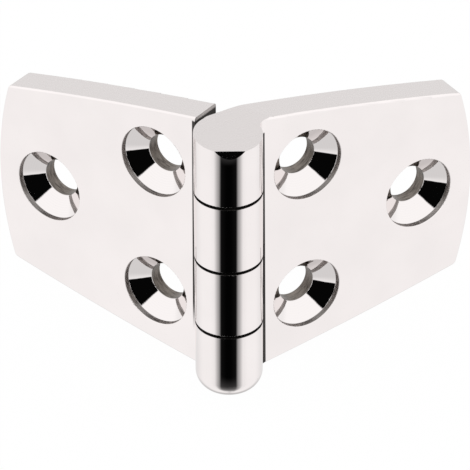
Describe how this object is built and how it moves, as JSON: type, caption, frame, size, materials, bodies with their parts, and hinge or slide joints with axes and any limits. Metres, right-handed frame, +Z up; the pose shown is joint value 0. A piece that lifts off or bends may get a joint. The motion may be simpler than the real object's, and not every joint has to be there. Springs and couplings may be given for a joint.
{
  "type": "flush hinge",
  "caption": "Polished cast hinge with tapered leaves folded back from a round interleaved barrel, turning on a hidden pin; the leaves are countersunk for screws.",
  "frame": {"origin": "centre of the left leaf's screw circle, on that leaf's back face", "axes": "+Z up along the pin, +Y out of the left leaf's back face, the left leaf reaching along -X from the pin"},
  "size_m": [0.0531, 0.041, 0.0391],
  "materials": {
    "polished_steel": "cast stainless steel, mirror polished on the faces and barrel, linished on the edges",
    "pin_steel": "drawn stainless steel rod, bright"
  },
  "bodies": {
    "left": {"left_leaf": "polished_steel", "hinge_pin": "pin_steel"},
    "right": {"right_leaf": "polished_steel"}
  },
  "joints": [
    {"name": "leaf_swing", "type": "hinge", "parent": "left", "child": "right", "pos_m": [0.018, -0.00495, 0], "axis": [0, 0, 1], "range_deg": [-245.8, 24.2]}
  ]
}
